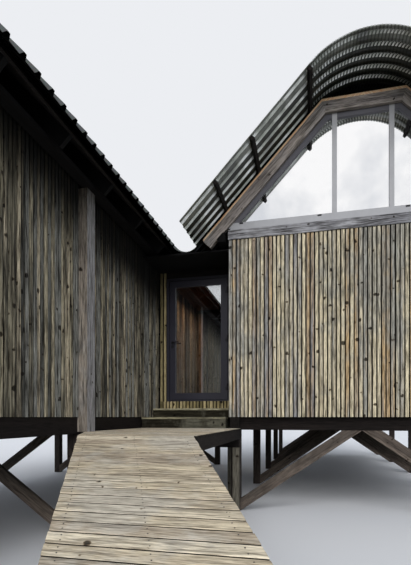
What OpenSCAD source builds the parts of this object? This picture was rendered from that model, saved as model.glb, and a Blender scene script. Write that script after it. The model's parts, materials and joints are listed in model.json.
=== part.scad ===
// Stilt house: two timber volumes under one wave of ribbed sheet, joined by a recessed link with a door,
// and reached by a sloping boardwalk. Origin on the ground under the middle of the whole, +Y into the depth.

/* [Volumes] */
// Width of a volume across its cladding
volume_w = 3780; // [3400:10:4200]
// Clear width between the two volumes
volume_gap = 1370; // [1300:10:1600]
// Bays in the length of a volume
bays = 4; // [3:1:5]
// Length of a bay, from one row of stilts to the next
bay_len = 2670; // [2400:10:2900]
// From the face of a gable to its first row of stilts
row_inset = 178; // [130:1:240]
// How far the left volume stands in front of the right one
left_shift = 4628; // [4450:178:4984]
// Lower edge of the cladding above the ground
wall_base_z = 1400; // [1100:10:1800]
// Height of the side walls at their outer face, up to the rafters
side_wall_h = 2831; // [2800:1:3000]
// Height of the solid lower part of a gable
gable_wall_h = 2760; // [2500:10:2780]
// Thickness of a wall behind its battens
wall_t = 175; // [120:5:240]
// How far the upright battens stand out from the wall
batten_t = 24; // [15:1:35]
// Depth of the board under a gable window
fascia_d = 140; // [100:5:180]
// Thickness of that board
fascia_t = 34; // [26:1:45]

/* [Stilts and floor] */
// Side of a square stilt
post_w = 140; // [100:5:180]
// Depth of the beams under walls and floors
beam_d = 190; // [150:5:240]
// Depth of a slanting brace, seen from the gable
brace_d = 150; // [100:5:180]
// Thickness of a brace
brace_t = 50; // [35:1:70]
// Clearance between the two braces of a row at their top
brace_gap = 4; // [2:1:10]
// Width of a floor joist
joist_w = 45; // [35:1:60]
// Depth of a floor joist
joist_d = 230; // [180:5:260]
// Largest spacing of the floor joists
joist_gap = 600; // [400:10:700]
// Thickness of the floor
floor_t = 40; // [25:1:60]

/* [Roof] */
// Slope of the roof in degrees
roof_slope = 46.5; // [44:0.1:48]
// Radius of the round ridge over its ribs
ridge_r = 1020; // [900:10:1100]
// Width of the valley between the ribs of the two roofs
valley_w = 298; // [240:2:360]
// How far the sheet runs past a gable at the front
verge = 801; // [623:89:979]
// Ribs from the front verge of the right roof to the front edge of the valley
valley_first_rib = 5; // [4:1:7]
// Depth of a rafter
rafter_d = 150; // [120:5:180]
// Thickness of an inner rafter
rafter_t = 50; // [40:1:70]
// Rafters in a bay
rafters_per_bay = 3; // [2:1:4]
// Thickness of the rafter on the face of a gable
barge_t = 70; // [50:1:90]
// How far that rafter stands out from the battens
barge_proud = 10; // [0:1:30]
// Half the width of a collar along its top
knee_x = 550; // [450:10:620]
// Depth of a collar
collar_d = 156; // [120:1:180]
// How far a rafter's tail stops short of the sheet, across the roof
tail_setback = 160; // [100:5:220]
// Clearance between pieces that only bear on each other
bearing_gap = 0.1; // [0.05:0.05:0.5]
// Thickness of the boards on the rafters
lining_t = 25; // [18:1:30]
// Depth of a purlin
purlin_d = 58; // [45:1:80]
// Width of a purlin
purlin_w = 45; // [35:1:60]
// How far the purlins stop short of the sheet's edge
purlin_short = 25; // [10:5:60]
// From the sheet's eave to the lowest purlin, across the roof
low_purlin_in = 530; // [400:10:620]
// From the lowest purlin to the middle one, across the roof
purlin_step = 481; // [380:1:520]
// How far the top purlin lies under the round ridge, across the roof
knee_lap = 45; // [30:1:70]
// Width of an eaves beam
eaves_beam_w = 120; // [90:5:150]
// Depth of an eaves beam
eaves_beam_d = 130; // [100:5:160]
// How far an eaves beam is let up into the slope of the rafters
eaves_beam_bite = 83; // [50:1:95]
// Clearance between the cladding and an eaves beam
eaves_beam_gap = 40; // [20:5:60]
// How far an eaves beam stands out from the gable's rafter
eaves_beam_proud = 30; // [10:5:50]

/* [Ribbed sheet] */
// Spacing of the ribs
rib_pitch = 178; // [160:1:200]
// Height of a rib
rib_h = 35; // [25:1:45]
// Width of a rib along its top
rib_top = 28; // [20:1:40]
// Width of each sloping side of a rib
rib_side = 20; // [12:1:26]
// Thickness of the sheet
sheet_t = 3; // [2:0.5:5]

/* [Gable windows] */
// Face width of a window frame
frame_w = 65; // [50:1:80]
// Depth of a window frame, front to back
frame_d = 70; // [55:1:85]
// How far a window frame lies behind the battens' face
frame_back = 40; // [30:1:60]
// Height of the bottom rail
bottom_rail_h = 120; // [90:5:150]
// Height of the top rail
top_rail_h = 70; // [55:1:90]
// From the middle of the gable to the middle of a mullion
mullion_x = 376; // [320:1:410]
// Thickness of the panes
pane_t = 24; // [20:1:30]

/* [Link] */
// From the right gable's face back to the face of the link
link_setback = 850; // [700:10:950]
// Length of the link between its two faces
link_len = 2750; // [2700:10:3000]
// Thickness of the link's own walls behind the battens
link_wall_t = 126; // [110:2:160]
// Height of the link's lintels
lintel_h = 100; // [80:5:140]
// Underside of the lintels above the cladding's lower edge
lintel_z = 2400; // [2390:5:2420]
// Thickness of the ceiling under the valley
ceiling_t = 22; // [18:1:23]
// Width of the doorway from the link into a volume
doorway_w = 900; // [800:10:1000]
// Height of that doorway
doorway_h = 2100; // [2000:10:2150]
// From the link's front face to the near side of the right volume's doorway
right_doorway_in = 1450; // [1300:10:1500]
// From the link's front face to the near side of the left volume's doorway
left_doorway_in = 170; // [160:10:300]

/* [Door] */
// Left side of the door's frame, from the middle of the link
door_left = 558; // [540:1:580]
// Right side of the door's frame, from the middle of the link
door_right = 565; // [550:1:580]
// Face width of the door's frame
jamb_w = 45; // [35:1:60]
// Depth of the door's frame, front to back
jamb_d = 100; // [90:1:110]
// Height of the threshold
threshold_h = 20; // [15:1:30]
// How far the door and its frame lie behind the battens' face
door_back = 4; // [0:1:20]
// Running clearance round the leaf
door_gap = 8; // [6:0.5:10]
// How far the stop laps behind the leaf
stop_lap = 15; // [12:1:20]
// Thickness of the leaf
leaf_t = 54; // [45:1:60]
// Width of the leaf's stiles and top rail
stile_w = 110; // [90:1:125]
// Height of the leaf's bottom rail
leaf_bottom_h = 115; // [95:1:140]
// Radius of a hinge knuckle
knuckle_r = 9; // [8:0.5:12]
// Radius of a hinge pin
pin_r = 5; // [4:0.5:6]
// Clearance between a pin and its knuckle
pin_clear = 0.1; // [0.05:0.05:0.3]
// Height of a whole hinge
hinge_h = 110; // [90:1:130]
// Width of a hinge plate
hinge_plate_w = 40; // [30:1:50]
// Thickness of a hinge plate
hinge_plate_t = 3; // [2:0.5:4]
// From the ends of the leaf to the middle of the outer hinges
hinge_in = 210; // [180:10:260]
// Height of the lever above the floor
lever_z = 1020; // [950:10:1100]
// Length of the lever
lever_len = 125; // [110:1:140]
// Radius of the lever
lever_r = 9; // [8:0.5:11]
// How far the lever stands out from the leaf
lever_out = 50; // [42:1:60]
// Radius of the roses round the lever and the keyhole
rose_r = 25; // [22:1:28]
// Thickness of the roses
rose_t = 8; // [6:1:10]
// From the lever down to the keyhole
keyhole_drop = 75; // [65:1:95]
// Width of the keyhole
keyhole_w = 4; // [3:0.5:6]
// Height of the keyhole
keyhole_h = 14; // [12:1:18]

/* [Corner post] */
// How far the upright post on the left wall stands out from the battens
corner_post_out = 100; // [70:5:130]
// Width of that post along the wall
corner_post_w = 180; // [140:5:220]

/* [Landing and boardwalk] */
// Landing below the cladding's lower edge
landing_drop = 167; // [150:1:200]
// Length of the landing
landing_len = 2680; // [2400:10:2900]
// Right side of the landing and of the boardwalk's top, from the middle of the link
landing_right = 875; // [800:5:950]
// Width of the boardwalk
ramp_w = 1110; // [1000:10:1250]
// Slope of the boardwalk in degrees
ramp_slope = 14.73; // [13:0.01:16]
// Angle by which the boardwalk leaves the house's length
ramp_skew = 25.1; // [20:0.1:28]
// Thickness of the walking boards
board_t = 30; // [22:1:40]
// Clearance between the landing and the left volume's cladding
landing_clear = 30; // [10:5:50]
// Width of the bearers under the boards
bearer_w = 45; // [35:1:60]
// Depth of the bearers under the boards
bearer_d = 120; // [90:5:150]
// How far the outer bearers lie in from the boardwalk's edges
bearer_in = 60; // [40:5:100]
// Side of the posts under the landing and the boardwalk
deck_post_w = 90; // [70:5:120]
// How far bearers and posts lie in from the landing's ends
bearer_inset = 150; // [100:10:250]
// Depth of each step, front to back, lower one first
lower_step_l = 510; // [450:10:520]
// Height of the lower step above the landing
lower_step_h = 167; // [150:1:180]
// Height of the upper step above the lower one
upper_step_h = 142; // [120:1:150]
// Right end of the steps, from the middle of the link
step_right = 645; // [600:5:665]
// Clearance between the steps and what stands beside them
step_clear = 5; // [3:1:15]

/* [Hidden] */
$fn = 48;

cladding = "#a39c86";
grey_timber = "#8f8f92";
brown_timber = "#6f655c";
dark_timber = "#3f3a38";
pale_timber = "#cdbfa5";
plywood = "#c98d55";
metal = "#8a8d86";
anthracite = "#3d3b45";
black_iron = "#1c1b1d";
glass_tint = "#aebbc2";

half_w = volume_w / 2;
core_half = half_w - batten_t;
inner_half = core_half - wall_t;
centre_x = half_w + volume_gap / 2;
gap_half = centre_x - core_half;
volume_len = bays * bay_len + 2 * row_inset;
shell = batten_t + wall_t;

sheet_ribs = round((volume_len + 2 * verge) / rib_pitch);
sheet_len = sheet_ribs * rib_pitch;
back_verge = sheet_len - verge - volume_len;

deck_z = wall_base_z - landing_drop;
ramp_run = deck_z / tan(ramp_slope);
right_y = (landing_len + ramp_run - volume_len - back_verge) / 2;
left_y = right_y - left_shift;
fold_y = right_y - landing_len;
link_front = right_y + link_setback;
link_back = link_front + link_len;
right_doorway_y = link_front + right_doorway_in;
left_doorway_y = link_front + left_doorway_in;

floor_z = wall_base_z + joist_d + floor_t;
eaves_z = wall_base_z + side_wall_h;
gable_top_z = wall_base_z + gable_wall_h;
row_y = [for (i = [0:bays]) row_inset + i * bay_len];
rafter_y = [for (i = [0:bays * rafters_per_bay]) row_inset + i * bay_len / rafters_per_bay];

// Underside and top of the rafters, and planes above them, at a distance x from a volume's middle
function under(x) = eaves_z + (core_half - x) * tan(roof_slope);
function over(x, lift = 0) = under(x) + (rafter_d + lift) / cos(roof_slope);
function under_x(z) = core_half - (z - eaves_z) / tan(roof_slope);

collar_top = over(knee_x);
collar_bottom = collar_top - collar_d;
collar_half = under_x(collar_bottom);
eave_half = centre_x - valley_w / 2;
tail_x = eave_half - tail_setback;
roof_lift = lining_t + purlin_d + sheet_t + rib_h;
pan_r = ridge_r - rib_h;
ridge_axis_z = over(0, roof_lift) - ridge_r / cos(roof_slope);
tangent_x = ridge_r * sin(roof_slope);
slope_len = (eave_half - tangent_x) / cos(roof_slope);
valley_r = valley_w / 2 / sin(roof_slope);
valley_axis_z = over(eave_half, roof_lift) + valley_r * cos(roof_slope);
valley_y = right_y - verge + valley_first_rib * rib_pitch;
valley_ribs = round((link_back + link_setback - valley_y) / rib_pitch);
valley_len = valley_ribs * rib_pitch;

eaves_beam_x = half_w + eaves_beam_gap;
eaves_beam_top = under(eaves_beam_x + eaves_beam_w) + eaves_beam_bite;

lintel_bottom = wall_base_z + lintel_z;
leaf_left = -door_left + jamb_w + door_gap;
leaf_right = door_right - jamb_w - door_gap;
leaf_bottom = floor_z + threshold_h + door_gap;
leaf_top = lintel_bottom - jamb_w - door_gap;
door_y = link_front + door_back;
hinge_x = leaf_right + door_gap / 2;
hinge_y = door_y - knuckle_r - hinge_plate_t + 1;
hinge_z = [leaf_bottom + hinge_in, (leaf_bottom + leaf_top) / 2, leaf_top - hinge_in];
lever_x = leaf_left + stile_w / 2;

board_drop = board_t / cos(ramp_slope);
joist_top = deck_z - board_t;
landing_left = gap_half - batten_t - landing_clear;
step_left = gap_half - batten_t - step_clear;
bearer_y = [fold_y + bearer_inset, right_y - bearer_inset, link_front - bearer_inset];
bearer_top = joist_top - bearer_d;
bearer_left = [landing_right - ramp_w, -landing_left, -landing_left];
bearer_right = [landing_right, landing_right, step_right];

window_base = gable_top_z + bottom_rail_h;
window_head = collar_bottom - top_rail_h;
mullion_edge = mullion_x + frame_w / 2;
frame_lift = frame_w / cos(roof_slope);

// Places and shapes used by several pieces

module right_volume() {
    translate([centre_x, right_y, 0]) children();
}

// Mirrored, so that -X is the side of the link in both volumes
module left_volume() {
    translate([-centre_x, left_y, 0]) mirror([1, 0, 0]) children();
}

module both_volumes() {
    right_volume() children();
    left_volume() children();
}

module both_sides() {
    children();
    mirror([1, 0, 0]) children();
}

module both_gables() {
    children();
    translate([0, volume_len, 0]) mirror([0, 1, 0]) children();
}

// A flat shape drawn in x and z, from y0 on along y
module along_y(y0, len) {
    translate([0, y0 + len, 0]) rotate([90, 0, 0]) linear_extrude(height = len) children();
}

// A flat shape drawn in y and z, from x0 on along x
module along_x(x0, len) {
    translate([x0, 0, 0]) rotate([90, 0, 90]) linear_extrude(height = len) children();
}

module block(x0, x1, y0, y1, z0, z1) {
    translate([x0, y0, z0]) cube([x1 - x0, y1 - y0, z1 - z0]);
}

// One face of the ribbed sheet along its length, as [along, height] points
function rib_line(count, drop) = [
    [0, -drop],
    for (i = [0:count - 1], p = [[-rib_top / 2 - rib_side, 0], [-rib_top / 2, rib_h],
                                 [rib_top / 2, rib_h], [rib_top / 2 + rib_side, 0]])
        [(i + 0.5) * rib_pitch + p[0], p[1] - drop],
    [count * rib_pitch, -drop]
];

function reversed(list) = [for (i = [len(list) - 1:-1:0]) list[i]];

function sheet_outline(count) = concat(rib_line(count, 0), reversed(rib_line(count, sheet_t)));

// Structure under the floors

module stilts() {
    color(brown_timber)
    both_volumes() both_sides() for (y = row_y)
        block(core_half - post_w, core_half, y - post_w / 2, y + post_w / 2, 0, wall_base_z - beam_d);
}

module stilt_braces() {
    post_face = core_half - post_w;
    beam_z = wall_base_z - beam_d;
    foot_h = brace_d / cos(atan2(beam_z, post_face));
    color(brown_timber)
    both_volumes() both_sides() for (y = row_y)
        along_y(y - post_w / 2, brace_t)
            polygon([[post_face, 0], [post_face, foot_h], [post_face * foot_h / beam_z, beam_z],
                     [brace_gap / 2, beam_z]]);
}

module edge_beams() {
    color(dark_timber)
    both_volumes() both_sides()
        block(core_half - post_w, core_half, batten_t, volume_len - batten_t, wall_base_z - beam_d, wall_base_z);
}

module floor_beams() {
    reach = core_half - post_w;
    color(dark_timber)
    both_volumes() for (y = row_y)
        block(-reach, reach, y - post_w / 2, y + post_w / 2, wall_base_z - beam_d, wall_base_z);
}

module floor_joists() {
    span = 2 * inner_half - joist_w;
    count = ceil(span / joist_gap);
    link_span = link_len - 2 * batten_t - joist_w;
    link_count = ceil(link_span / joist_gap);
    color(dark_timber) {
        both_volumes() for (i = [0:count])
            translate([-inner_half + i * span / count, shell, wall_base_z])
                cube([joist_w, volume_len - 2 * shell, joist_d]);
        for (i = [0:link_count])
            translate([-gap_half, link_front + batten_t + i * link_span / link_count, wall_base_z])
                cube([2 * gap_half, joist_w, joist_d]);
    }
}

module floors() {
    color(plywood) {
        both_volumes()
            block(-inner_half, inner_half, shell, volume_len - shell, floor_z - floor_t, floor_z);
        block(-gap_half, gap_half, link_front + batten_t, link_back - batten_t, floor_z - floor_t, floor_z);
    }
}

// Walls

module gable_walls() {
    color(cladding)
    both_volumes() both_gables()
        block(-core_half, core_half, batten_t, shell, wall_base_z, gable_top_z);
}

// A stretch of side wall on +X, up to the rafters
module side_wall(y0, y1, z0) {
    along_y(y0, y1 - y0)
        polygon([[inner_half, z0], [core_half, z0], [core_half, eaves_z], [inner_half, under(inner_half)]]);
}

module outer_walls() {
    color(cladding)
    both_volumes() side_wall(shell, volume_len - shell, wall_base_z);
}

// The wall towards the link is split before and after its doorway
module inner_wall_front(y1) {
    mirror([1, 0, 0]) side_wall(shell, y1, wall_base_z);
}

module inner_wall_back(y0) {
    mirror([1, 0, 0]) side_wall(y0, volume_len - shell, wall_base_z);
}

module right_inner_wall_front() {
    color(cladding)
    right_volume() inner_wall_front(right_doorway_y - right_y);
}

module right_inner_wall_back() {
    color(cladding)
    right_volume() inner_wall_back(right_doorway_y + doorway_w - right_y);
}

module left_inner_wall_front() {
    color(cladding)
    left_volume() inner_wall_front(left_doorway_y - left_y);
}

module left_inner_wall_back() {
    color(cladding)
    left_volume() inner_wall_back(left_doorway_y + doorway_w - left_y);
}

// Over and under one doorway, in its volume's place
module doorway_infill(y0) {
    mirror([1, 0, 0]) {
        side_wall(y0, y0 + doorway_w, floor_z + doorway_h);
        block(inner_half, core_half, y0, y0 + doorway_w, wall_base_z, floor_z);
    }
}

module doorway_infills() {
    color(cladding) {
        right_volume() doorway_infill(right_doorway_y - right_y);
        left_volume() doorway_infill(left_doorway_y - left_y);
    }
}

module gable_fascias() {
    color(grey_timber)
    both_volumes() both_gables()
        block(-half_w, half_w, batten_t - fascia_t, batten_t, gable_top_z - fascia_d, gable_top_z);
}

// Gable windows

// Clear opening of a pane beside the middle one
module side_pane() {
    polygon([[mullion_edge, window_base], [under_x(window_base + frame_lift), window_base],
             [under_x(window_head + frame_lift), window_head], [mullion_edge, window_head]]);
}

module middle_pane() {
    reach = mullion_x - frame_w / 2;
    translate([-reach, window_base]) square([2 * reach, window_head - window_base]);
}

module panes() {
    middle_pane();
    side_pane();
    mirror([1, 0]) side_pane();
}

module window_frames() {
    color(grey_timber)
    both_volumes() both_gables() difference() {
        along_y(frame_back, frame_d)
            polygon([[-half_w, gable_top_z], [half_w, gable_top_z], [half_w, under(half_w)],
                     [collar_half, collar_bottom], [-collar_half, collar_bottom], [-half_w, under(half_w)]]);
        along_y(frame_back - 1, frame_d + 2) panes();
    }
}

module window_glass() {
    color(glass_tint)
    both_volumes() both_gables() along_y(frame_back + (frame_d - pane_t) / 2, pane_t) panes();
}

// Roof timbers

// One rafter on +X, with a square-cut tail
module rafter(y0, t) {
    along_y(y0, t)
        polygon([[knee_x, collar_top], [tail_x, over(tail_x)],
                 [tail_x - rafter_d * sin(roof_slope), over(tail_x) - rafter_d * cos(roof_slope)],
                 [collar_half, collar_bottom]]);
}

module collar(y0, t) {
    along_y(y0, t)
        polygon([[-knee_x, collar_top], [knee_x, collar_top], [collar_half, collar_bottom],
                 [-collar_half, collar_bottom]]);
}

module rafters() {
    color(brown_timber)
    both_volumes() both_sides() {
        both_gables() rafter(-barge_proud, barge_t);
        for (y = rafter_y) rafter(y - rafter_t / 2, rafter_t);
    }
}

module collars() {
    color(brown_timber)
    both_volumes() {
        both_gables() collar(-barge_proud, barge_t);
        for (y = rafter_y) collar(y - rafter_t / 2, rafter_t);
    }
}

// The top is cut to the slope of the rafters that bear on it
module eaves_beams() {
    reach = barge_proud + eaves_beam_proud;
    x1 = eaves_beam_x + eaves_beam_w;
    z0 = eaves_beam_top - eaves_beam_d;
    color(dark_timber)
    both_volumes() both_sides() along_y(-reach, volume_len + 2 * reach)
        polygon([[eaves_beam_x, z0], [x1, z0], [x1, under(x1)], [under_x(eaves_beam_top), eaves_beam_top],
                 [eaves_beam_x, eaves_beam_top]]);
}

module slope_linings() {
    color(plywood)
    both_volumes() both_sides() along_y(-barge_proud, volume_len + 2 * barge_proud)
        polygon([[knee_x, collar_top], [tail_x, over(tail_x)], [tail_x, over(tail_x, lining_t)],
                 [knee_x, over(knee_x, lining_t)]]);
}

module top_linings() {
    color(plywood)
    both_volumes() block(-knee_x, knee_x, -barge_proud, volume_len + barge_proud, collar_top,
                         over(knee_x, lining_t));
}

// One purlin on +X with its underside on the lining, at a distance x from the middle
module purlin(x, depth) {
    translate([x, -verge + purlin_short, over(x, lining_t)]) rotate([0, roof_slope, 0])
        translate([-purlin_w / 2, 0, bearing_gap])
            cube([purlin_w, sheet_len - 2 * purlin_short, depth - 2 * bearing_gap]);
}

module purlins() {
    low_x = eave_half - low_purlin_in;
    pan_under_r = pan_r - sheet_t;
    past = knee_lap / cos(roof_slope) + purlin_w / 2;
    color(dark_timber)
    both_volumes() both_sides() {
        purlin(low_x, purlin_d);
        purlin(low_x - purlin_step, purlin_d);
        purlin(tangent_x - knee_lap, purlin_d - pan_under_r + sqrt(pan_under_r * pan_under_r - past * past));
    }
}

// Ribbed sheet

module roof_slopes() {
    color(metal)
    both_volumes() both_sides()
        translate([pan_r * sin(roof_slope), -verge, ridge_axis_z + pan_r * cos(roof_slope)])
            rotate([0, roof_slope, 0]) along_x(bearing_gap, slope_len - 2 * bearing_gap)
                polygon(sheet_outline(sheet_ribs));
}

// The same sheet bent round a ridge or a valley: "up" is 1 with the ribs outside the bend, -1 inside
module bent_sheet(count, pan_radius, up) {
    rotate([-90, 0, 0]) rotate([0, 0, -up * 90 - roof_slope])
        rotate_extrude(angle = 2 * roof_slope, $fn = 144)
            polygon([for (p = sheet_outline(count)) [pan_radius + up * p[1], p[0]]]);
}

module ridge_sheets() {
    color(metal)
    both_volumes() translate([0, -verge, ridge_axis_z]) bent_sheet(sheet_ribs, pan_r, 1);
}

module valley_sheet() {
    color(metal)
    translate([0, valley_y, valley_axis_z]) bent_sheet(valley_ribs, valley_r + rib_h, -1);
}

// Link

module both_link_ends() {
    translate([0, link_front, 0]) children();
    translate([0, link_back, 0]) mirror([0, 1, 0]) children();
}

module link_jambs() {
    color(cladding)
    both_link_ends() {
        block(-gap_half, -door_left, batten_t, batten_t + link_wall_t, floor_z, lintel_bottom);
        block(door_right, gap_half, batten_t, batten_t + link_wall_t, floor_z, lintel_bottom);
    }
}

module link_lintels() {
    color(dark_timber)
    both_link_ends()
        block(-gap_half, gap_half, batten_t, batten_t + link_wall_t, lintel_bottom, lintel_bottom + lintel_h);
}

module link_ceiling() {
    color(black_iron)
    block(-gap_half, gap_half, valley_y, valley_y + valley_len, lintel_bottom + lintel_h,
          lintel_bottom + lintel_h + ceiling_t);
}

// Door

// A ring in x and z round a clear opening, with members of their own widths
module door_ring(x0, x1, z0, z1, side, bottom, top) {
    difference() {
        translate([x0, z0]) square([x1 - x0, z1 - z0]);
        translate([x0 + side, z0 + bottom]) square([x1 - x0 - 2 * side, z1 - z0 - bottom - top]);
    }
}

module door_frame() {
    rebate_d = leaf_t + door_gap;
    color(anthracite) {
        along_y(door_y, rebate_d)
            door_ring(-door_left, door_right, floor_z, lintel_bottom, jamb_w, threshold_h, jamb_w);
        along_y(door_y + rebate_d, jamb_d - rebate_d)
            door_ring(-door_left, door_right, floor_z, lintel_bottom, jamb_w + door_gap + stop_lap,
                      threshold_h, jamb_w + door_gap + stop_lap);
    }
}

module door_leaf() {
    color(anthracite)
    along_y(door_y, leaf_t)
        door_ring(leaf_left, leaf_right, leaf_bottom, leaf_top, stile_w, leaf_bottom_h, stile_w);
}

module door_glass() {
    color(glass_tint)
    block(leaf_left + stile_w, leaf_right - stile_w, door_y + (leaf_t - pane_t) / 2,
          door_y + (leaf_t + pane_t) / 2, leaf_bottom + leaf_bottom_h, leaf_top - stile_w);
}

// Lever and roses of one side, standing out towards -Y from the leaf's face at y = 0
module lever_side() {
    rotate([90, 0, 0]) {
        cylinder(r = rose_r, h = rose_t);
        cylinder(r = lever_r, h = lever_out);
        translate([0, -keyhole_drop, 0]) difference() {
            cylinder(r = rose_r, h = rose_t);
            translate([-keyhole_w / 2, -keyhole_h / 2, rose_t / 2]) cube([keyhole_w, keyhole_h, rose_t]);
        }
    }
    translate([0, -lever_out, 0]) {
        sphere(r = lever_r);
        rotate([0, 90, 0]) cylinder(r = lever_r, h = lever_len);
    }
}

module door_handle() {
    color(black_iron)
    translate([lever_x, door_y, floor_z + lever_z]) {
        lever_side();
        translate([0, leaf_t, 0]) mirror([0, 1, 0]) lever_side();
    }
}

// The frame's half of each hinge is the upper one, and it holds the pin
module frame_hinges() {
    color(black_iron)
    for (z = hinge_z) translate([hinge_x, hinge_y, z]) {
        cylinder(r = knuckle_r, h = hinge_h / 2);
        translate([0, 0, 1 - hinge_h / 2]) cylinder(r = pin_r, h = hinge_h / 2);
        translate([0, door_y - hinge_y - hinge_plate_t, 0]) cube([hinge_plate_w, hinge_plate_t, hinge_h / 2]);
    }
}

module door_hinges() {
    half = hinge_h / 2 - 1;
    color(black_iron)
    for (z = hinge_z) translate([hinge_x, hinge_y, z - 1 - half]) difference() {
        union() {
            cylinder(r = knuckle_r, h = half);
            translate([-hinge_plate_w, door_y - hinge_y - hinge_plate_t, 0])
                cube([hinge_plate_w, hinge_plate_t, half]);
        }
        translate([0, 0, -1]) cylinder(r = pin_r + pin_clear, h = half + 2);
    }
}

// Fixed glazing at the back of the link, on the pattern of the door
module link_back_frame() {
    color(anthracite)
    along_y(link_back - door_back - jamb_d, jamb_d)
        door_ring(-door_left, door_right, floor_z, lintel_bottom, stile_w, leaf_bottom_h, stile_w);
}

module link_back_glass() {
    y0 = link_back - door_back - (jamb_d + pane_t) / 2;
    color(glass_tint)
    block(-door_left + stile_w, door_right - stile_w, y0, y0 + pane_t, floor_z + leaf_bottom_h,
          lintel_bottom - stile_w);
}

module corner_post() {
    y0 = left_y + row_y[1] - corner_post_w / 2;
    color(grey_timber)
    block(-gap_half, -gap_half + batten_t + corner_post_out, y0, y0 + corner_post_w, deck_z,
          eaves_beam_top - eaves_beam_d);
}

// Landing and boardwalk

module landing_deck() {
    ramp_left = landing_right - ramp_w;
    color(pale_timber)
    translate([0, 0, joist_top]) linear_extrude(height = board_t)
        polygon([[ramp_left, fold_y], [landing_right, fold_y], [landing_right, right_y], [-landing_left, right_y],
                 [-landing_left, fold_y + (ramp_left + landing_left) / tan(ramp_skew)]]);
}

module landing_joists() {
    ramp_left = landing_right - ramp_w;
    edge_y = fold_y + (ramp_left + landing_left) / tan(ramp_skew);
    far_y = link_front + batten_t + link_wall_t;
    color(dark_timber) {
        block(-landing_left, -landing_left + bearer_w, edge_y, far_y, joist_top - bearer_d, joist_top);
        block(ramp_left + bearer_w, ramp_left + 2 * bearer_w, fold_y, far_y, joist_top - bearer_d, joist_top);
        block(step_right - bearer_w, step_right, fold_y, far_y, joist_top - bearer_d, joist_top);
        block(landing_right - bearer_w, landing_right, fold_y, right_y, joist_top - bearer_d, joist_top);
    }
}

module landing_bearers() {
    color(dark_timber)
    for (i = [0:2])
        block(bearer_left[i], bearer_right[i], bearer_y[i] - bearer_w / 2, bearer_y[i] + bearer_w / 2,
              bearer_top - bearer_d, bearer_top);
}

// The strip of the boardwalk between two distances from its right edge, seen from above
module skew_strip(in0, in1) {
    shift = ramp_run * tan(ramp_skew);
    far = landing_right - in0;
    near = landing_right - in1;
    linear_extrude(height = wall_base_z)
        polygon([[near, fold_y], [far, fold_y], [far + shift, fold_y - ramp_run],
                 [near + shift, fold_y - ramp_run]]);
}

function ramp_top(y) = deck_z - (fold_y - y) * tan(ramp_slope);

// Side view of a layer of the boardwalk between two drops below its walking face, cut off at the ground
module ramp_layer(drop0, drop1) {
    polygon([[fold_y, deck_z - drop0], [fold_y - (deck_z - drop0) / tan(ramp_slope), 0],
             [fold_y - (deck_z - drop1) / tan(ramp_slope), 0], [fold_y, deck_z - drop1]]);
}

module ramp_part(in0, in1, drop0, drop1) {
    intersection() {
        skew_strip(in0, in1);
        along_x(-volume_w, 2 * volume_w) ramp_layer(drop0, drop1);
    }
}

module ramp_deck() {
    color(pale_timber)
    ramp_part(0, ramp_w, 0, board_drop);
}

module ramp_bearers() {
    drop = board_drop + bearer_d / cos(ramp_slope);
    color(dark_timber)
    for (i = [0, (ramp_w - bearer_w) / 2 - bearer_in, ramp_w - bearer_w - 2 * bearer_in])
        ramp_part(bearer_in + i, bearer_in + i + bearer_w, board_drop, drop);
}

// A post under the boardwalk, its head cut to the slope
module ramp_post(y, inset) {
    x = landing_right - inset + (fold_y - y) * tan(ramp_skew);
    drop = board_drop + bearer_d / cos(ramp_slope) + bearing_gap;
    y0 = y - deck_post_w / 2;
    y1 = y + deck_post_w / 2;
    along_x(x - deck_post_w / 2, deck_post_w)
        polygon([[y0, 0], [y1, 0], [y1, ramp_top(y1) - drop], [y0, ramp_top(y0) - drop]]);
}

module deck_posts() {
    edge = bearer_in + bearer_w / 2;
    color(brown_timber) {
        for (i = [0:2], x = [bearer_left[i], bearer_right[i] - deck_post_w])
            block(x, x + deck_post_w, bearer_y[i] - deck_post_w / 2, bearer_y[i] + deck_post_w / 2, 0,
                  bearer_top - bearer_d);
        for (share = [1 / 3, 2 / 3], inset = [edge, ramp_w - edge])
            ramp_post(fold_y - share * (ramp_run - 2 * bearer_d / tan(ramp_slope)), inset);
    }
}

// A box step, open at its back and underneath
module step(y0, y1, top_z) {
    color(pale_timber)
    difference() {
        block(-step_left, step_right, y0, y1, joist_top, top_z);
        block(board_t - step_left, step_right - board_t, y0 + board_t, y1 + 1, joist_top - 1, top_z - board_t);
    }
}

module lower_step() {
    step(right_y, right_y + lower_step_l, deck_z + lower_step_h);
}

module upper_step() {
    step(right_y + lower_step_l, link_front, deck_z + lower_step_h + upper_step_h);
}

stilts();
stilt_braces();
edge_beams();
floor_beams();
floor_joists();
floors();
gable_walls();
outer_walls();
right_inner_wall_front();
right_inner_wall_back();
left_inner_wall_front();
left_inner_wall_back();
doorway_infills();
gable_fascias();
window_frames();
window_glass();
rafters();
collars();
eaves_beams();
slope_linings();
top_linings();
purlins();
roof_slopes();
ridge_sheets();
valley_sheet();
link_jambs();
link_lintels();
link_ceiling();
door_frame();
door_leaf();
door_glass();
door_handle();
frame_hinges();
door_hinges();
link_back_frame();
link_back_glass();
corner_post();
landing_deck();
landing_joists();
landing_bearers();
deck_posts();
ramp_deck();
ramp_bearers();
lower_step();
upper_step();
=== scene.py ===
import json
import math

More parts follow.
